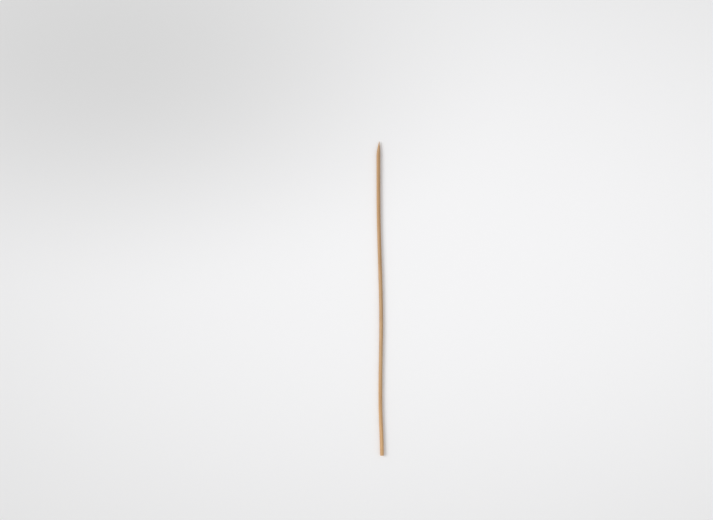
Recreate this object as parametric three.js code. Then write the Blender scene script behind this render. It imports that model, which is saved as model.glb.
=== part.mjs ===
// Bamboo skewer: one solid rod, cut square at the foot and ground to a point at the tip.
// Millimetres, +Z up. It lies on its side with the point toward +Y, its bends level with the
// XY plane, and its origin on the surface under the middle of its length and width.

import * as THREE from 'three';

// Rod: drawn through a round die, then dried a little flatter than it is wide
const LENGTH = 250;
const SHANK_WIDTH = 3.0;
const SHANK_HEIGHT = 2.9;

// Foot: sawn square, with the edge only just broken by tumbling
const FOOT_EDGE_RADIUS = 0.12;

// Point: ground to a full, slightly rounded cone that ends blunt and off centre.
// Fullness 1 is a straight cone, and more than 1 swells into the rod with no corner.
const POINT_LENGTH = 11;
const POINT_FULLNESS = 1.6;
const TIP_WIDTH = 0.36;
const TIP_OFFSET = 0.8;

// Natural bends of the centreline: how far the rod strays to the side, and at what share
// of its length from the foot
const LOWER_BEND = -0.9;
const LOWER_BEND_SHARE = 0.17;
const MIDDLE_BEND = 0.3;
const MIDDLE_BEND_SHARE = 0.45;
const UPPER_BEND = -1.0;
const UPPER_BEND_SHARE = 0.8;
const TIP_BEND = -0.7;

// Faceting
const SIDES = 24;
const FOOT_EDGE_STEPS = 3;
const SHANK_RING_SPACING = 8;
const POINT_RINGS = 12;
const TIP_CAP_STEPS = 3;

const shankRadius = SHANK_WIDTH / 2;
const tipRadius = TIP_WIDTH / 2;
const shoulderY = LENGTH - POINT_LENGTH;
const tipBaseY = LENGTH - tipRadius;

const bends = [
  { y: 0, side: 0 },
  { y: LOWER_BEND_SHARE * LENGTH, side: LOWER_BEND },
  { y: MIDDLE_BEND_SHARE * LENGTH, side: MIDDLE_BEND },
  { y: UPPER_BEND_SHARE * LENGTH, side: UPPER_BEND },
  { y: LENGTH, side: TIP_BEND },
];

// How far the grinding has gone at a height: 0 on the shank, 1 where the blunt tip starts
function grinding(y) {
  const share = THREE.MathUtils.clamp((y - shoulderY) / (tipBaseY - shoulderY), 0, 1);
  return share ** POINT_FULLNESS;
}

function rodRadius(y) {
  return THREE.MathUtils.lerp(shankRadius, tipRadius, grinding(y));
}

// Sideways place of the centreline: smooth bends, and the pull of the off-centre point
function centrelineX(y) {
  const passed = bends.filter((bend) => bend.y < y).length;
  const next = THREE.MathUtils.clamp(passed, 1, bends.length - 1);
  const from = bends[next - 1];
  const to = bends[next];
  const turn = THREE.MathUtils.smoothstep(y, from.y, to.y);
  return THREE.MathUtils.lerp(from.side, to.side, turn) + TIP_OFFSET * grinding(y);
}

// Half section of the straight rod, from the middle of the foot to the top of the tip
function rodProfile() {
  const profile = [new THREE.Vector2(0, 0)];
  for (let step = 0; step <= FOOT_EDGE_STEPS; step += 1) {
    const turn = (step / FOOT_EDGE_STEPS) * (Math.PI / 2);
    const inset = FOOT_EDGE_RADIUS * (1 - Math.sin(turn));
    const rise = FOOT_EDGE_RADIUS * (1 - Math.cos(turn));
    profile.push(new THREE.Vector2(shankRadius - inset, rise));
  }
  const shankRings = Math.ceil((shoulderY - FOOT_EDGE_RADIUS) / SHANK_RING_SPACING);
  for (let ring = 1; ring <= shankRings; ring += 1) {
    const y = THREE.MathUtils.lerp(FOOT_EDGE_RADIUS, shoulderY, ring / shankRings);
    profile.push(new THREE.Vector2(rodRadius(y), y));
  }
  for (let ring = 1; ring <= POINT_RINGS; ring += 1) {
    const y = THREE.MathUtils.lerp(shoulderY, tipBaseY, ring / POINT_RINGS);
    profile.push(new THREE.Vector2(rodRadius(y), y));
  }
  for (let step = 1; step < TIP_CAP_STEPS; step += 1) {
    const turn = (step / TIP_CAP_STEPS) * (Math.PI / 2);
    profile.push(new THREE.Vector2(tipRadius * Math.cos(turn), tipBaseY + tipRadius * Math.sin(turn)));
  }
  profile.push(new THREE.Vector2(0, LENGTH));
  return profile;
}

// The straight round rod, flattened to its dried section and bent along its centreline.
// The grinding turns the oval section back into a round one toward the tip.
function skewerGeometry() {
  const geometry = new THREE.LatheGeometry(rodProfile(), SIDES);
  const places = geometry.attributes.position;
  for (let index = 0; index < places.count; index += 1) {
    const y = places.getY(index);
    const flattening = THREE.MathUtils.lerp(SHANK_HEIGHT / SHANK_WIDTH, 1, grinding(y));
    places.setX(index, places.getX(index) + centrelineX(y));
    places.setZ(index, places.getZ(index) * flattening);
  }
  geometry.computeVertexNormals();
  return geometry;
}

const bamboo = new THREE.MeshStandardMaterial({ color: 0xcba276, roughness: 0.62, metalness: 0 });

const skewer = new THREE.Mesh(skewerGeometry(), bamboo);
skewer.name = 'skewer';

// Lays the skewer on the surface, centred over the origin
const box = new THREE.Box3().setFromObject(skewer);
const middle = box.getCenter(new THREE.Vector3());
skewer.position.set(-middle.x, -middle.y, -box.min.z);

const part = new THREE.Group();
part.add(skewer);

export default part;
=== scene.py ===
import math

import bpy
import numpy as np
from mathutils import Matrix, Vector


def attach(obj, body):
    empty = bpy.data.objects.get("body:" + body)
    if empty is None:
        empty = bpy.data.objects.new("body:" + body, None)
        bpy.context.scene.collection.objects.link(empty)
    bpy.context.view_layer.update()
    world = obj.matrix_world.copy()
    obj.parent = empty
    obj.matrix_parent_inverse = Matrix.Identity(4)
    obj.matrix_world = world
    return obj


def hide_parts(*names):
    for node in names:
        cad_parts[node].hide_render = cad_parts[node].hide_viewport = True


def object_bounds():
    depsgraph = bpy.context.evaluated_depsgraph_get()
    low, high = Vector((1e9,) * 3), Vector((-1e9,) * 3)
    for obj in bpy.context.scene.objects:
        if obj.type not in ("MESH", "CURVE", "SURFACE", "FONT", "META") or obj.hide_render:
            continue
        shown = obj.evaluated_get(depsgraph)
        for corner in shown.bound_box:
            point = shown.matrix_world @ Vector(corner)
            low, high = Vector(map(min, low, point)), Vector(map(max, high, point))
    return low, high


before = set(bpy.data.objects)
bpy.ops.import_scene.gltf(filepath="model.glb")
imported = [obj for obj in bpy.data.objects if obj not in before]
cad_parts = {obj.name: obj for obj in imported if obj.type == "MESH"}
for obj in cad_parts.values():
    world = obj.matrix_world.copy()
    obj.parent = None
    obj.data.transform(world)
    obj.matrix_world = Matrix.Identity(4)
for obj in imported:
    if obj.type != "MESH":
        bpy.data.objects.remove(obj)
cad_low, cad_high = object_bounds()

MM = 0.001
FULL_TURN = 2 * math.pi
random_source = np.random.default_rng(7)

# Where the photograph, 713 by 520 pixels, shows the middle of the foot and the tip
PHOTO_WIDTH, PHOTO_HEIGHT = 713, 520
FOOT_PIXEL = (382.0, 455.5)
TIP_PIXEL = (379.3, 141.5)

# How finely the skin is divided: its marks run along it, so it is divided finest around
SEGMENTS = 200
SHANK_STEP = 0.60 * MM
POINT_STEP = 0.18 * MM
FOOT_EDGE_RINGS = 6
FOOT_FACE_RINGS = 12
TIP_CAP_RINGS = 6


def eased(share):
    """A share from 0 to 1 that starts and ends gently, from one that grows evenly."""
    return share * share * (3 - 2 * share)


def smooth_through(places, knots, values):
    """Reads a smooth curve through the values at the knots, which never overshoots them."""
    steps = np.diff(knots)
    rates = np.diff(values) / steps
    slopes = np.concatenate([rates[:1], np.zeros(len(knots) - 2), rates[-1:]])
    before, after = rates[:-1], rates[1:]
    same_way = before * after > 0
    near = (2 * steps[1:] + steps[:-1])[same_way]
    far = (steps[1:] + 2 * steps[:-1])[same_way]
    slopes[1:-1][same_way] = (near + far) / (near / before[same_way] + far / after[same_way])
    left = np.clip(np.searchsorted(knots, places, side="right") - 1, 0, len(knots) - 2)
    share = (places - knots[left]) / steps[left]
    rise = eased(share)
    start = share * (1 - share) ** 2 * steps[left] * slopes[left]
    end = share * share * (1 - share) * steps[left] * slopes[left + 1]
    return values[left] * (1 - rise) + values[left + 1] * rise + start - end


def wander(places, spacing, rows):
    """Smooth random curves along the rod, one in each row, between -1 and 1."""
    knots = np.arange(places.min() - spacing, places.max() + 3 * spacing, spacing)
    values = random_source.uniform(-1, 1, (rows, len(knots)))
    position = (places - knots[0]) / spacing
    left = position.astype(int)
    rise = eased(position - left)
    return values[:, left] * (1 - rise) + values[:, left + 1] * rise


# How the solid's rings are told apart: digits of their places in metres, and what is only rounding
RING_DIGITS = 6
RING_ROUNDING = 0.002 * MM


class Rod:
    """The solid's rings, read off the frame: their places along Y, their sides and half sizes."""

    def __init__(self, node):
        corners = np.array([vertex.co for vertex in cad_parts[node].data.vertices])
        along = np.round(corners[:, 1], RING_DIGITS)
        self.knots = np.unique(along)
        rings = [corners[along == knot] for knot in self.knots]
        lows = np.array([ring.min(axis=0) for ring in rings])
        highs = np.array([ring.max(axis=0) for ring in rings])
        self.sides = (lows[:, 0] + highs[:, 0]) / 2
        self.widths = (highs[:, 0] - lows[:, 0]) / 2
        self.heights = (highs[:, 2] - lows[:, 2]) / 2
        self.radius = float(self.widths.max())
        self.axis_height = float((lows[0, 2] + highs[0, 2]) / 2)
        self.foot = float(self.knots[0])
        self.tip = float(self.knots[-1])
        full = self.widths > self.radius - RING_ROUNDING
        self.foot_edge = float(self.knots[full].min())
        self.shoulder = float(self.knots[full].max())
        before_cap = self.tip - self.knots > self.widths - RING_ROUNDING
        self.cap = float(self.knots[before_cap & (self.knots < self.tip)].max())

    def side(self, places):
        """Where the middle of the section lies along X."""
        return smooth_through(places, self.knots, self.sides)

    def half_width(self, places):
        return smooth_through(places, self.knots, self.widths)

    def half_height(self, places):
        return smooth_through(places, self.knots, self.heights)

    def middle(self, place):
        """The middle of the section at one place along the rod."""
        return np.array([float(self.side(np.array([place]))[0]), place, self.axis_height])

    def ground(self, places):
        """How far along the ground point each place lies: 0 on the shank, 1 at the tip."""
        return np.clip((places - self.shoulder) / (self.tip - self.shoulder), 0, 1)


def ring_places(rod):
    """Where the skin's rings lie along the rod, closest where its shape turns fastest."""
    foot_turn = np.linspace(0, math.pi / 2, FOOT_EDGE_RINGS, endpoint=False)
    foot_edge = rod.foot + (rod.foot_edge - rod.foot) * (1 - np.cos(foot_turn))
    shank_rings = math.ceil((rod.shoulder - rod.foot_edge) / SHANK_STEP)
    shank = np.linspace(rod.foot_edge, rod.shoulder, shank_rings, endpoint=False)
    point_rings = math.ceil((rod.cap - rod.shoulder) / POINT_STEP)
    point = np.linspace(rod.shoulder, rod.cap, point_rings, endpoint=False)
    cap_turn = np.linspace(0, math.pi / 2, TIP_CAP_RINGS, endpoint=False)
    cap = rod.cap + (rod.tip - rod.cap) * np.sin(cap_turn)
    return np.concatenate([foot_edge, shank, point, cap])


def angle_from(angles, homes):
    """How far each angle is from each home, the short way round."""
    homes = np.atleast_1d(homes)
    return np.abs((angles[None, :] - homes[:, None] + math.pi) % FULL_TURN - math.pi)


# Drawing through the die leaves the section slightly out of round: how deep each number of lobes
# goes, and the length over which the lobes turn
SECTION_LOBES = {2: 0.024 * MM, 3: 0.016 * MM, 4: 0.010 * MM, 5: 0.008 * MM}
SECTION_TURN_LENGTH = 90 * MM


def section_lobes(places, angles):
    """How far the shank falls short of its full section."""
    depth = np.zeros((len(places), len(angles)))
    for lobes, deep in SECTION_LOBES.items():
        phase = wander(places, SECTION_TURN_LENGTH, 1)[0] * math.pi / lobes
        depth += deep * (1 - np.cos(lobes * (angles[None, :] - phase[:, None]))) / 2
    return depth


# Marks that run along the skin: torn grooves, long splits, and fibre strands that stand proud.
# Each follows a random curve between -1 and 1, and shows where that rises above the threshold.
GROOVES = {
    "count": 90, "widths": (0.05 * MM, 0.12 * MM), "depths": (0.010 * MM, 0.040 * MM),
    "run": 14 * MM, "threshold": 0.0,
}
SPLITS = {
    "count": 12, "widths": (0.05 * MM, 0.09 * MM), "depths": (0.06 * MM, 0.10 * MM),
    "run": 22 * MM, "threshold": 0.5,
}
STRANDS = {
    "count": 70, "widths": (0.06 * MM, 0.16 * MM), "depths": (0.006 * MM, 0.018 * MM),
    "run": 30 * MM, "threshold": -0.3,
}

# How far a mark drifts round the rod in radians, over what length, and how steeply its ends rise
MARK_DRIFT = 0.07
MARK_DRIFT_LENGTH = 60 * MM
MARK_STEEPNESS = 1.6


def long_marks(places, angles, radius, count, widths, depths, run, threshold):
    """How deep or proud narrow marks go that come and go and drift a little round the rod."""
    homes = random_source.uniform(0, FULL_TURN, count)
    drifts = wander(places, MARK_DRIFT_LENGTH, count) * MARK_DRIFT
    strengths = np.clip((wander(places, run, count) - threshold) * MARK_STEEPNESS, 0, 1)
    mark_widths = random_source.uniform(*widths, count)
    mark_depths = random_source.uniform(*depths, count)
    field = np.zeros((len(places), len(angles)))
    for home, drift, strength, width, deep in zip(homes, drifts, strengths, mark_widths, mark_depths):
        off = angle_from(angles, home + drift) * radius / width
        field = np.maximum(field, deep * strength[:, None] * np.exp(-off * off))
    return field


# The ground point has soft flats, which turn along it as it was rolled. The turn is in radians.
POINT_FLATS = 6
POINT_FLAT_SHARE = 0.035
POINT_FLAT_TURN = 0.5
POINT_FLAT_TURN_LENGTH = 6 * MM


def point_flats(places, angles, rod):
    """Share of the radius that the soft flats of the grinding take off the point."""
    turn = wander(places, POINT_FLAT_TURN_LENGTH, 1)[0] * POINT_FLAT_TURN
    flats = (1 + np.cos(POINT_FLATS * (angles[None, :] - turn[:, None]))) / 2
    return POINT_FLAT_SHARE * np.sqrt(rod.ground(places))[:, None] * flats ** 2


# The sawn foot has a chipped rim and a face of torn fibre ends. Turns are in radians, and the
# reaches of the pits are shares of the foot's radius.
RIM_CHIPS = 18
RIM_CHIP_DEPTH = 0.06 * MM
RIM_CHIP_TURNS = (0.05, 0.20)
RIM_CHIP_LENGTHS = (0.25 * MM, 0.90 * MM)
FACE_PITS = 60
FACE_PIT_DEPTH = 0.045 * MM
FACE_PIT_REACHES = (0.04, 0.14)


def rim_chips(places, angles, rod):
    """How deep the sawn rim is chipped."""
    depth = np.zeros((len(places), len(angles)))
    for _ in range(RIM_CHIPS):
        home = random_source.uniform(0, FULL_TURN)
        turn = random_source.uniform(*RIM_CHIP_TURNS)
        length = random_source.uniform(*RIM_CHIP_LENGTHS)
        nearness = np.clip(1 - (places - rod.foot) / length, 0, 1)
        around = np.exp(-(angle_from(angles, home) / turn) ** 2)
        depth = np.maximum(depth, RIM_CHIP_DEPTH * nearness[:, None] * around)
    return depth


def foot_face_depth(shares, angles):
    """How far the torn fibre ends of the sawn face lie back from its plane."""
    across = shares[:, None] * np.cos(angles)[None, :]
    up = shares[:, None] * np.sin(angles)[None, :]
    depth = np.zeros_like(across)
    for _ in range(FACE_PITS):
        x, y = random_source.uniform(-1, 1, 2)
        reach = random_source.uniform(*FACE_PIT_REACHES)
        pit = np.exp(-((across - x) ** 2 + (up - y) ** 2) / reach ** 2)
        depth = np.maximum(depth, pit * random_source.uniform(0, 1))
    return FACE_PIT_DEPTH * depth


# How far past the shoulder the skin looks freshly ground
FRESH_LENGTH = 3 * MM


def skin_rings(rod, places, angles):
    """The rings of the skin as corner places, with how deep in a groove each corner lies."""
    widths = rod.half_width(places)[:, None]
    heights = rod.half_height(places)[:, None]
    fading = widths / rod.radius
    grooves = long_marks(places, angles, rod.radius, **GROOVES)
    splits = long_marks(places, angles, rod.radius, **SPLITS)
    strands = STRANDS["depths"][1] - long_marks(places, angles, rod.radius, **STRANDS)
    torn = np.maximum(grooves, splits) * fading
    depth = (section_lobes(places, angles) + strands) * fading + torn + rim_chips(places, angles, rod)
    depth += point_flats(places, angles, rod) * widths
    x = rod.side(places)[:, None] + (widths - depth) * np.cos(angles)[None, :]
    z = rod.axis_height + (heights - depth) * np.sin(angles)[None, :]
    y = np.repeat(places[:, None], SEGMENTS, axis=1)
    return np.stack([x, y, z], axis=2), torn / SPLITS["depths"][1]


def foot_face(rod, rim, angles):
    """The sawn face as rings inside the rim, from the innermost out, and its middle corner."""
    shares = np.linspace(0, 1, FOOT_FACE_RINGS, endpoint=False)[1:]
    middle = rod.middle(rod.foot)
    rings = middle + (rim - middle)[None, :, :] * shares[:, None, None]
    rings[:, :, 1] = rod.foot + foot_face_depth(shares, angles)
    middle[1] = rings[0, :, 1].mean()
    return rings, middle


def quads_between(rings):
    """Quads that join rings of corners, numbered one ring after the other."""
    ring = np.arange(rings - 1)[:, None] * SEGMENTS
    here = np.arange(SEGMENTS)[None, :]
    after = (here + 1) % SEGMENTS
    following = ring + SEGMENTS
    quads = np.stack([ring + here, following + here, following + after, ring + after], axis=2)
    return quads.reshape(-1, 4)


def add_values(mesh, name, kind, field, values):
    """Keeps a value for each corner in the mesh, for its material to read."""
    attribute = mesh.attributes.new(name, kind, "POINT")
    attribute.data.foreach_set(field, np.asarray(values, np.float32).ravel())


def add_grain(mesh, rod, grooves, cut):
    """Gives each corner its place in the straight stick that the bent rod was cut from, in mm."""
    corners = np.array([vertex.co for vertex in mesh.vertices])
    bend = rod.side(np.clip(corners[:, 1], rod.foot, rod.shoulder))
    straight = corners - [0, rod.foot, rod.axis_height]
    straight[:, 0] -= bend
    add_values(mesh, "grain_place", "FLOAT_VECTOR", "vector", straight / MM)
    add_values(mesh, "groove", "FLOAT", "value", grooves)
    add_values(mesh, "cut", "FLOAT", "value", cut)


# The unwrapped skin: lengths of the rod lie side by side in the map, seamed underneath,
# and the foot's face lies beside them. All are shares of the map's side.
MAP_NAME = "OFBake"
MAP_STRIPS = 5
MAP_STRIP_START = 0.015
MAP_STRIP_LENGTH = 0.915
MAP_STRIP_MARGIN = 0.004
MAP_FACE_MIDDLE = (0.97, 0.04)
MAP_FACE_RADIUS = 0.025
SEAM_SEGMENT = 3 * SEGMENTS // 4


def strip_places(rod, places):
    """Map places of the quads between the rings, for their four corners."""
    length = (rod.tip - rod.foot) / MAP_STRIPS
    middles = (places[1:] + places[:-1]) / 2 - rod.foot
    strips = np.clip(middles // length, 0, MAP_STRIPS - 1)
    starts = (places[:-1] - rod.foot) / length - strips
    ends = (places[1:] - rod.foot) / length - strips
    around = (np.arange(SEGMENTS) - SEAM_SEGMENT) % SEGMENTS
    height = 1 / MAP_STRIPS - 2 * MAP_STRIP_MARGIN
    bases = strips / MAP_STRIPS + MAP_STRIP_MARGIN
    uv = np.zeros((len(strips), SEGMENTS, 4, 2))
    for corner, (share, step) in enumerate(((starts, 0), (ends, 0), (ends, 1), (starts, 1))):
        uv[:, :, corner, 0] = (MAP_STRIP_START + MAP_STRIP_LENGTH * share)[:, None]
        uv[:, :, corner, 1] = bases[:, None] + height * (around + step)[None, :] / SEGMENTS
    return uv


def face_places(rod, corners):
    """Map places of corners on the foot's face."""
    middle = rod.middle(rod.foot)
    across = (corners[..., 0] - middle[0]) / rod.radius
    up = (corners[..., 2] - middle[2]) / rod.radius
    u = MAP_FACE_MIDDLE[0] + MAP_FACE_RADIUS * across
    v = MAP_FACE_MIDDLE[1] + MAP_FACE_RADIUS * up
    return np.stack([u, v], axis=-1)


def unwrap(mesh, rod, places, corners, quads, fans):
    """Lays the skin out flat: strips of the sides, the foot's face and the last ring at the tip."""
    face_quads = (FOOT_FACE_RINGS - 1) * SEGMENTS
    on_face = face_places(rod, corners[quads[:face_quads]])
    on_sides = strip_places(rod, places).reshape(-1, 4, 2)
    foot_fan, tip_fan = fans
    on_foot_fan = face_places(rod, corners[foot_fan])
    last = on_sides[-SEGMENTS:]
    tip_corner = (last[:, 1] + last[:, 2]) / 2
    tip_corner[:, 0] += MAP_STRIP_LENGTH * (rod.tip - places[-1]) / (rod.tip - rod.foot) * MAP_STRIPS
    on_tip_fan = np.stack([tip_corner, last[:, 2], last[:, 1]], axis=1)
    flat = [part.reshape(-1, 2) for part in (on_face, on_sides, on_foot_fan, on_tip_fan)]
    layer = mesh.uv_layers.new(name=MAP_NAME)
    layer.uv.foreach_set("vector", np.concatenate(flat).astype(np.float32).ravel())


def end_fans(rings):
    """Triangles that close the first and last ring with the two corners numbered after them."""
    here = np.arange(SEGMENTS)
    after = (here + 1) % SEGMENTS
    last = (rings - 1) * SEGMENTS
    face_middle = np.full(SEGMENTS, rings * SEGMENTS)
    foot_fan = np.stack([face_middle, here, after], axis=1)
    tip_fan = np.stack([face_middle + 1, last + after, last + here], axis=1)
    return foot_fan, tip_fan


def add_piece(name, mesh):
    """Puts a mesh in the scene as a smooth piece."""
    mesh.shade_smooth()
    piece = bpy.data.objects.new(name, mesh)
    bpy.context.scene.collection.objects.link(piece)
    return piece


def make_skewer(rod):
    """The skin of the skewer as one closed mesh."""
    angles = np.arange(SEGMENTS) * FULL_TURN / SEGMENTS
    places = ring_places(rod)
    sides, grooves = skin_rings(rod, places, angles)
    face_rings, face_middle = foot_face(rod, sides[0], angles)
    rings = np.concatenate([face_rings, sides])
    corners = np.concatenate([rings.reshape(-1, 3), [face_middle, rod.middle(rod.tip)]])
    quads = quads_between(len(rings))
    fans = end_fans(len(rings))
    mesh = bpy.data.meshes.new("bamboo_skewer")
    mesh.from_pydata(corners.tolist(), [], [*quads.tolist(), *fans[0].tolist(), *fans[1].tolist()])
    unwrap(mesh, rod, places, corners, quads, fans)
    face_corners = len(face_rings) * SEGMENTS
    groove_values = np.concatenate([np.zeros(face_corners), grooves.ravel(), [0, 0]])
    cut = np.clip((places - rod.shoulder) / FRESH_LENGTH, 0, 1)
    cut_values = np.concatenate([np.ones(face_corners), np.repeat(cut, SEGMENTS), [1, 1]])
    add_grain(mesh, rod, groove_values, cut_values)
    return add_piece("bamboo_skewer", mesh)


# Thin slivers that lift off the skin at one end, on the flanks. Their section is a flat diamond,
# given by its corners outward and sideways. The clearance is how many of its lengths a sliver's
# root keeps from the foot and from the ground point.
LIFTED_FIBRES = 44
LIFTED_LENGTHS = (1.2 * MM, 4.5 * MM)
LIFTED_WIDTHS = (0.035 * MM, 0.080 * MM)
LIFTED_CORNERS = ((0, -1), (0.5, 0), (0, 1), (-0.5, 0))
LIFTED_SIDES = len(LIFTED_CORNERS)
LIFTED_CLEARANCE = 2
LIFTED_STEPS = 9

# How high a sliver's free end stands and how deep its root is sunk, how steeply it rises, sinks
# and narrows along its length, and where it starts and how far it swerves round the rod, in radians
LIFTED_HEIGHTS = (0.05 * MM, 0.17 * MM)
LIFTED_ROOT_DEPTH = 0.06 * MM
LIFTED_RISE_POWER = 2.2
LIFTED_ROOT_POWER = 2
LIFTED_TAPER_POWER = 3
LIFTED_SWERVE_POWER = 2
LIFTED_SWERVE = 0.05
FLANK_TURN = (0.05, 0.95)


def sliver_corners(rod, places, turn, rise, breadth):
    """Rings of corners round a sliver, all but the last of them whole, and that one's middle."""
    sides = []
    for out, sideways in LIFTED_CORNERS:
        angle = turn + sideways * breadth / rod.radius
        x = rod.side(places) + (rod.half_width(places) + rise + out * breadth) * np.cos(angle)
        z = rod.axis_height + (rod.half_height(places) + rise + out * breadth) * np.sin(angle)
        sides.append(np.stack([x, places, z], axis=1))
    rings = np.stack(sides, axis=1)
    return np.concatenate([rings[:-1].reshape(-1, 3), [rings[-1].mean(axis=0)]])


def sliver_faces(way):
    """The faces of a closed sliver, turned outward whichever way it points."""
    faces = [tuple(range(LIFTED_SIDES))]
    for step in range(LIFTED_STEPS - 2):
        for side in range(LIFTED_SIDES):
            here = step * LIFTED_SIDES + side
            after = step * LIFTED_SIDES + (side + 1) % LIFTED_SIDES
            faces.append((here, here + LIFTED_SIDES, after + LIFTED_SIDES, after))
    last = (LIFTED_STEPS - 2) * LIFTED_SIDES
    for side in range(LIFTED_SIDES):
        faces.append((last + side, last + LIFTED_SIDES, last + (side + 1) % LIFTED_SIDES))
    return faces if way > 0 else [face[::-1] for face in faces]


def lifted_fibre(rod):
    """Corners and faces of one closed sliver, from its sunk root to its free end."""
    length = random_source.uniform(*LIFTED_LENGTHS)
    way = random_source.choice([-1, 1])
    clearance = LIFTED_CLEARANCE * length
    root = random_source.uniform(rod.foot + clearance, rod.shoulder - clearance)
    home = random_source.uniform(*FLANK_TURN) * random_source.choice([-1, 1])
    home += random_source.choice([0, math.pi])
    width = random_source.uniform(*LIFTED_WIDTHS)
    lift = random_source.uniform(*LIFTED_HEIGHTS)
    swerve = random_source.uniform(-LIFTED_SWERVE, LIFTED_SWERVE)
    shares = np.linspace(0, 1, LIFTED_STEPS)
    sunk = LIFTED_ROOT_DEPTH * (1 - shares) ** LIFTED_ROOT_POWER
    rise = lift * shares ** LIFTED_RISE_POWER - sunk
    turn = home + swerve * shares ** LIFTED_SWERVE_POWER
    breadth = np.sqrt(1 - shares ** LIFTED_TAPER_POWER) * width / 2
    corners = sliver_corners(rod, root + way * length * shares, turn, rise, breadth)
    return corners, sliver_faces(way)


def make_lifted_fibres(rod):
    """The slivers that stay within the solid's own box, as one mesh of closed bodies."""
    corners, faces = [], []
    for _ in range(LIFTED_FIBRES):
        fibre_corners, fibre_faces = lifted_fibre(rod)
        if np.any(fibre_corners < cad_low) or np.any(fibre_corners > cad_high):
            continue
        faces += [tuple(index + len(corners) for index in face) for face in fibre_faces]
        corners += fibre_corners.tolist()
    mesh = bpy.data.meshes.new("lifted_fibres")
    mesh.from_pydata(corners, [], faces)
    add_grain(mesh, rod, np.zeros(len(corners)), np.zeros(len(corners)))
    return add_piece("lifted_fibres", mesh)


NOISE_ROUGHNESS = 0.58

# Blender numbers the sockets of its Mix node so where it mixes colours
MIX_SHARE, MIX_FIRST, MIX_SECOND = 0, 6, 7
MIX_RESULT = 2


class Nodes:
    """Short forms for building a material's or world's nodes."""

    def __init__(self, tree):
        tree.nodes.clear()
        self.tree = tree

    def add(self, kind, **settings):
        node = self.tree.nodes.new(kind)
        for name, value in settings.items():
            setattr(node, name, value)
        return node

    def join(self, source, target):
        self.tree.links.new(source, target)

    def put(self, value, socket):
        """Sets a socket to a number or colour, or links it to another node's output."""
        if isinstance(value, (int, float, tuple)):
            socket.default_value = value
        else:
            self.join(value, socket)

    def set(self, node, **values):
        """Puts values in a node's inputs by name, with _ for the spaces in a name."""
        for name, value in values.items():
            self.put(value, node.inputs[name.replace("_", " ")])
        return node

    def attribute(self, name, output):
        return self.add("ShaderNodeAttribute", attribute_name=name).outputs[output]

    def vector(self, operation, first, second=None, output="Vector"):
        node = self.add("ShaderNodeVectorMath", operation=operation)
        self.put(first, node.inputs[0])
        if second is not None:
            self.put(second, node.inputs[1])
        return node.outputs[output]

    def lengthened(self, place, times):
        """Places along which every mark comes out this many times as long as it is wide."""
        return self.vector("MULTIPLY", place, (1.0, 1.0 / times, 1.0))

    def noise(self, vector, scale, detail):
        node = self.add("ShaderNodeTexNoise")
        self.set(node, Vector=vector, Scale=scale, Detail=detail, Roughness=NOISE_ROUGHNESS)
        return node.outputs["Fac"]

    def cells(self, vector, scale):
        """How far a place is from the middle of its random cell."""
        node = self.add("ShaderNodeTexVoronoi", feature="F1")
        return self.set(node, Vector=vector, Scale=scale).outputs["Distance"]

    def spread(self, value, low, high, out_low=0.0, out_high=1.0):
        """A number that goes smoothly between two others as the value goes from low to high."""
        node = self.add("ShaderNodeMapRange", interpolation_type="SMOOTHSTEP")
        for index, number in enumerate((value, low, high, out_low, out_high)):
            self.put(number, node.inputs[index])
        return node.outputs["Result"]

    def math(self, operation, first, second):
        node = self.add("ShaderNodeMath", operation=operation)
        self.put(first, node.inputs[0])
        self.put(second, node.inputs[1])
        return node.outputs[0]

    def blend(self, share, first, second):
        """A number that goes from the first to the second."""
        node = self.set(self.add("ShaderNodeMix"), Factor=share)
        self.put(first, node.inputs["A"])
        self.put(second, node.inputs["B"])
        return node.outputs["Result"]

    def mix(self, share, first, second, blend="MIX"):
        """A colour that goes from the first to the second, or from the first to both blended."""
        node = self.add("ShaderNodeMix", data_type="RGBA", blend_type=blend)
        for index, value in ((MIX_SHARE, share), (MIX_FIRST, first), (MIX_SECOND, second)):
            self.put(value, node.inputs[index])
        return node.outputs[MIX_RESULT]

    def surface(self, shader, kind="ShaderNodeOutputMaterial"):
        """Shows the shader on what has this material, or behind everything for a world."""
        self.join(shader.outputs[0], self.add(kind).inputs["Surface"])


# The curve between a screen's colours and light, which holds for all but the darkest colours
SCREEN_STEPS = 255
SCREEN_OFFSET = 0.055
SCREEN_POWER = 2.4


def linear(red, green, blue):
    """A colour read off a screen as the light values that a shader takes, opaque."""
    shares = (np.array([red, green, blue]) / SCREEN_STEPS + SCREEN_OFFSET) / (1 + SCREEN_OFFSET)
    return (*[float(share) for share in shares ** SCREEN_POWER], 1.0)


# Bamboo: pale ground tissue with brown fibre bundles, single dark fibres and short flecks
PALE_BAMBOO = linear(222, 184, 138)
WARM_BAMBOO = linear(207, 165, 119)
BUNDLE_BROWN = linear(168, 124, 80)
FIBRE_BROWN = linear(130, 88, 52)
# Painted shade inside the grooves and splits
GROOVE_SHADE = linear(112, 76, 46)
CUT_BAMBOO = linear(224, 191, 150)
# The tint of the painted shade that dulls the wood toward the tip
TIP_SHADE_TINT = linear(236, 238, 244)

# How many marks of each kind fit in a millimetre, and how many times as long as wide they are
TONES_PER_MM, TONE_LENGTHENING = 0.55, 40
BUNDLES_PER_MM, BUNDLE_LENGTHENING = 2.3, 150
FIBRES_PER_MM, FIBRE_LENGTHENING = 11.0, 320
FLECKS_PER_MM, FLECK_LENGTHENING = 8.0, 45

# How many finer layers each noise has
TONE_DETAIL, FIBRE_DETAIL, FLECK_DETAIL = 3.0, 5.0, 2.0

# Between which values of its noise, or distances from a bundle's middle, each mark comes or goes
TONE_SPAN = (0.32, 0.68)
BUNDLE_SPAN = (0.14, 0.40)
CORE_SPAN = (0.04, 0.20)
STREAK_SPAN = (0.36, 0.62)
HAIRLINE_SPAN = (0.60, 0.68)
FLECK_SPAN = (0.62, 0.72)

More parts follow.
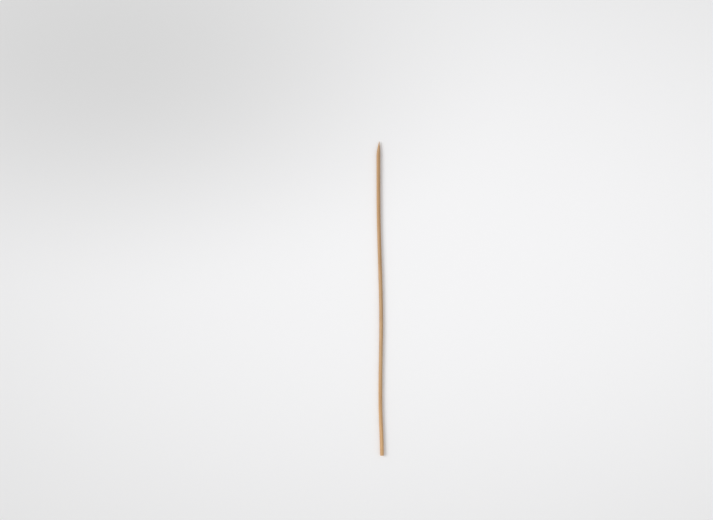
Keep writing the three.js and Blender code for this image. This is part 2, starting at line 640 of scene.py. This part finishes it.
# How strongly each kind of mark colours the wood, on the shank or where it is cut
INNER_LIT_BUNDLE_SHARE, OUTER_SHADED_BUNDLE_SHARE, CUT_BUNDLE_SHARE = 0.30, 0.70, 0.75
CORE_SHARE = 0.55
STREAK_SHARE = 0.34
HAIRLINE_SHARE = 0.55
FLECK_SHARE = 0.40
CUT_SHARE = 0.30
# Painted shade in grooves and splits, darker where they are deeper
GROOVE_SHADE_SHARE = 0.80

# The culm's outer side, where bundles crowd, and how far in mm the change to it reaches across. It
# lies on the right flank, away from the key lamp, so its browner wood is partly painted shade.
# Painted shade dulls the wood from the bright foot toward the tip, over a stretch that is given in mm
# from its end.
OUTER_SHADED_SIDE = (0.85, 0.0, 0.20)
OUTER_SHADED_REACH = (-1.3, 1.3)
TIP_SHADE_STRETCH = (25.0, 95.0)
TIP_SHADE_SHARE = 0.85
ALONG = (0.0, 1.0, 0.0)

# The finish: how rough the shank is between fibres and on them, and how much more where it is cut
ROUGHNESS = (0.46, 0.66)
ROUGHNESS_SPAN = (0.3, 0.7)
CUT_ROUGHNESS = 0.15
WOOD_IOR = 1.45
WOOD_SPECULAR = 0.3

# Relief too fine for the mesh: how bundles rise and flecks sink beside the fibres' own height
BUMP_STRENGTH = 0.55
BUMP_DISTANCE = 0.02 * MM
BUNDLE_RISE = 0.35
FLECK_SINK = 0.5


def bamboo_marks(nodes, place):
    """How much of each kind of mark lies at a place, from 0 to 1."""
    cell = nodes.cells(nodes.lengthened(place, BUNDLE_LENGTHENING), BUNDLES_PER_MM)
    fine = nodes.noise(nodes.lengthened(place, FIBRE_LENGTHENING), FIBRES_PER_MM, FIBRE_DETAIL)
    tone = nodes.noise(nodes.lengthened(place, TONE_LENGTHENING), TONES_PER_MM, TONE_DETAIL)
    fleck = nodes.noise(nodes.lengthened(place, FLECK_LENGTHENING), FLECKS_PER_MM, FLECK_DETAIL)
    return {
        "tone": nodes.spread(tone, *TONE_SPAN),
        "bundle": nodes.spread(cell, *BUNDLE_SPAN, 1.0, 0.0),
        "core": nodes.spread(cell, *CORE_SPAN, 1.0, 0.0),
        "fine": fine,
        "streak": nodes.spread(fine, *STREAK_SPAN),
        "hairline": nodes.spread(fine, *HAIRLINE_SPAN),
        "fleck": nodes.spread(fleck, *FLECK_SPAN),
    }


def bamboo_colour(nodes, place, marks, groove, cut):
    """The colour of the wood, with painted shade that dulls it toward the tip."""
    # Bundles crowd toward the right flank, away from the key lamp: partly the culm's outer wall,
    # partly painted shade on that flank
    outer_shaded = nodes.spread(nodes.vector("DOT_PRODUCT", place, OUTER_SHADED_SIDE, "Value"), *OUTER_SHADED_REACH)
    shank_bundles = nodes.spread(outer_shaded, 0.0, 1.0, INNER_LIT_BUNDLE_SHARE, OUTER_SHADED_BUNDLE_SHARE)
    bundle_share = nodes.blend(cut, shank_bundles, CUT_BUNDLE_SHARE)
    along = nodes.vector("DOT_PRODUCT", place, ALONG, "Value")
    # Painted shade, darker toward the tip
    tip_shade = nodes.spread(along, *TIP_SHADE_STRETCH, 0.0, TIP_SHADE_SHARE)
    colour = nodes.mix(marks["tone"], WARM_BAMBOO, PALE_BAMBOO)
    colour = nodes.mix(nodes.math("MULTIPLY", cut, CUT_SHARE), colour, CUT_BAMBOO)
    colour = nodes.mix(nodes.math("MULTIPLY", marks["bundle"], bundle_share), colour, BUNDLE_BROWN)
    core = nodes.math("MULTIPLY", marks["core"], bundle_share)
    layers = (
        (core, CORE_SHARE, FIBRE_BROWN),
        (marks["streak"], STREAK_SHARE, BUNDLE_BROWN),
        (marks["hairline"], HAIRLINE_SHARE, FIBRE_BROWN),
        (marks["fleck"], FLECK_SHARE, FIBRE_BROWN),
        # Painted shade in grooves and splits
        (groove, GROOVE_SHADE_SHARE, GROOVE_SHADE),
    )
    for mark, share, mark_colour in layers:
        colour = nodes.mix(nodes.math("MULTIPLY", mark, share), colour, mark_colour)
    return nodes.mix(tip_shade, colour, TIP_SHADE_TINT, "MULTIPLY")


def bamboo_material():
    """Wood whose marks run along the rod and show as dots where it is cut across."""
    material = bpy.data.materials.new("bamboo")
    material.use_nodes = True
    nodes = Nodes(material.node_tree)
    place = nodes.attribute("grain_place", "Vector")
    groove = nodes.attribute("groove", "Fac")
    cut = nodes.attribute("cut", "Fac")
    marks = bamboo_marks(nodes, place)
    colour = bamboo_colour(nodes, place, marks, groove, cut)
    shank_rough = nodes.spread(marks["fine"], *ROUGHNESS_SPAN, *ROUGHNESS)
    rough = nodes.math("ADD", shank_rough, nodes.math("MULTIPLY", cut, CUT_ROUGHNESS))
    bundle_height = nodes.math("MULTIPLY", marks["bundle"], BUNDLE_RISE)
    height = nodes.math("ADD", marks["fine"], bundle_height)
    height = nodes.math("SUBTRACT", height, nodes.math("MULTIPLY", marks["fleck"], FLECK_SINK))
    bump = nodes.add("ShaderNodeBump")
    nodes.set(bump, Strength=BUMP_STRENGTH, Distance=BUMP_DISTANCE, Height=height)
    shader = nodes.add("ShaderNodeBsdfPrincipled")
    nodes.set(shader, Base_Color=colour, Roughness=rough, Normal=bump.outputs["Normal"])
    nodes.set(shader, IOR=WOOD_IOR, Specular_IOR_Level=WOOD_SPECULAR)
    nodes.surface(shader)
    return material


# The pale surface, in metres: a painted pool of light just right of the skewer, with painted shade in
# the far left corner
FLOOR_SIZE = 30.0
FLOOR_LIGHT_POOL = linear(244, 244, 245)
FLOOR_GREY = linear(218, 218, 218)
FLOOR_SHADE = linear(214, 214, 214)
FLOOR_LIGHT_POOL_PLACE = (0.05, 0.035, 0.0)
FLOOR_LIGHT_FALLOFF = (0.02, 0.47)
FLOOR_SHADE_PLACE = (-0.23, 0.20, 0.0)
FLOOR_SHADE_REACH = (0.0, 0.21)
FLOOR_SQUEEZE = (0.58, 1.0, 1.0)
FLOOR_ROUGHNESS = 0.9


def floor_material():
    """Matt pale paper with a painted pool of light that falls off with distance, more slowly to the
    sides, and a painted shaded corner.
    """
    material = bpy.data.materials.new("pale_floor")
    material.use_nodes = True
    nodes = Nodes(material.node_tree)
    place = nodes.add("ShaderNodeTexCoord").outputs["Object"]
    away = {}
    for spot in (FLOOR_LIGHT_POOL_PLACE, FLOOR_SHADE_PLACE):
        offset = nodes.vector("MULTIPLY", nodes.vector("SUBTRACT", place, spot), FLOOR_SQUEEZE)
        away[spot] = nodes.vector("LENGTH", offset, output="Value")
    # Painted light and shade: the paper is brightest at one place and fades outward, and is darker
    # near the far left corner
    light_falloff = nodes.spread(away[FLOOR_LIGHT_POOL_PLACE], *FLOOR_LIGHT_FALLOFF)
    corner_shade = nodes.spread(away[FLOOR_SHADE_PLACE], *FLOOR_SHADE_REACH, 1.0, 0.0)
    colour = nodes.mix(light_falloff, FLOOR_LIGHT_POOL, FLOOR_GREY)
    colour = nodes.mix(corner_shade, colour, FLOOR_SHADE)
    shader = nodes.add("ShaderNodeBsdfPrincipled")
    nodes.surface(nodes.set(shader, Base_Color=colour, Roughness=FLOOR_ROUGHNESS))
    return material


def make_floor():
    """The surface that the skewer lies on, wide enough to fill the view from any side."""
    half = FLOOR_SIZE / 2
    mesh = bpy.data.meshes.new("floor")
    corners = [(-half, -half, 0), (half, -half, 0), (half, half, 0), (-half, half, 0)]
    mesh.from_pydata(corners, [], [(0, 1, 2, 3)])
    mesh.materials.append(floor_material())
    floor = bpy.data.objects.new("floor", mesh)
    bpy.context.scene.collection.objects.link(floor)


# The world: how strongly it lights the skewer, and how strongly its backdrop shows, 1 as written
BACKDROP = linear(224, 224, 224)
BACKDROP_STRENGTH = 1.0
WHITE = (1.0, 1.0, 1.0, 1.0)
SKY_LIGHT = 0.55


def make_world():
    """Even white light, which the camera and reflections see as a pale backdrop."""
    world = bpy.data.worlds.new("studio")
    bpy.context.scene.world = world
    world.use_nodes = True
    nodes = Nodes(world.node_tree)
    light = nodes.set(nodes.add("ShaderNodeBackground"), Color=WHITE, Strength=SKY_LIGHT)
    backdrop = nodes.add("ShaderNodeBackground")
    nodes.set(backdrop, Color=BACKDROP, Strength=BACKDROP_STRENGTH)
    ray = nodes.add("ShaderNodeLightPath").outputs
    seen = nodes.math("ADD", ray["Is Camera Ray"], ray["Is Glossy Ray"])
    seen = nodes.math("ADD", seen, ray["Is Transmission Ray"])
    choice = nodes.add("ShaderNodeMixShader")
    nodes.put(seen, choice.inputs[0])
    nodes.join(light.outputs[0], choice.inputs[1])
    nodes.join(backdrop.outputs[0], choice.inputs[2])
    nodes.surface(choice, "ShaderNodeOutputWorld")


# Lamps: the side each shines from, its strength, and how wide it looks from the skewer in radians
LAMPS = {
    "key": ((-0.75, 0.15, 0.65), 1.75, 0.60),
    "fill": ((0.55, -0.25, 0.80), 0.35, 1.00),
}


def add_lamp(name, side, strength, softness):
    """A large far lamp that shines evenly from the given side."""
    lamp = bpy.data.lights.new(name, "SUN")
    lamp.energy = strength
    lamp.angle = softness
    holder = bpy.data.objects.new(name, lamp)
    holder.rotation_mode = "QUATERNION"
    holder.rotation_quaternion = Vector(side).to_track_quat("Z", "Y")
    bpy.context.scene.collection.objects.link(holder)


# The camera's focal length and the width of its sensor, in mm as Blender takes them
CAMERA_LENS, CAMERA_SENSOR = 85.0, 36.0


def from_centre(pixel):
    """A pixel's place from the photograph's centre, with up as the second part."""
    return complex(pixel[0] - PHOTO_WIDTH / 2, PHOTO_HEIGHT / 2 - pixel[1])


def make_camera(rod):
    """A camera straight above, which puts the foot and the tip on their pixels of the photograph."""
    foot = complex(*rod.middle(rod.foot)[:2])
    tip = complex(*rod.middle(rod.tip)[:2])
    pixel = (tip - foot) / (from_centre(TIP_PIXEL) - from_centre(FOOT_PIXEL))
    middle = foot - from_centre(FOOT_PIXEL) * pixel
    distance = abs(pixel) * PHOTO_WIDTH * CAMERA_LENS / CAMERA_SENSOR
    camera = bpy.data.cameras.new("camera")
    camera.lens = CAMERA_LENS
    camera.sensor_width = CAMERA_SENSOR
    holder = bpy.data.objects.new("camera", camera)
    holder.location = (middle.real, middle.imag, rod.axis_height + distance)
    holder.rotation_euler = (0, 0, math.atan2(pixel.imag, pixel.real))
    bpy.context.scene.collection.objects.link(holder)
    bpy.context.scene.camera = holder


def main():
    bpy.context.scene.view_settings.view_transform = "Standard"
    rod = Rod("skewer")
    make_camera(rod)
    make_world()
    make_floor()
    for name, settings in LAMPS.items():
        add_lamp(name, *settings)
    bamboo = bamboo_material()
    skewer = make_skewer(rod)
    fibres = make_lifted_fibres(rod)
    for piece in (skewer, fibres):
        piece.data.materials.append(bamboo)
        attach(piece, "root")
    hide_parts("skewer")


main()
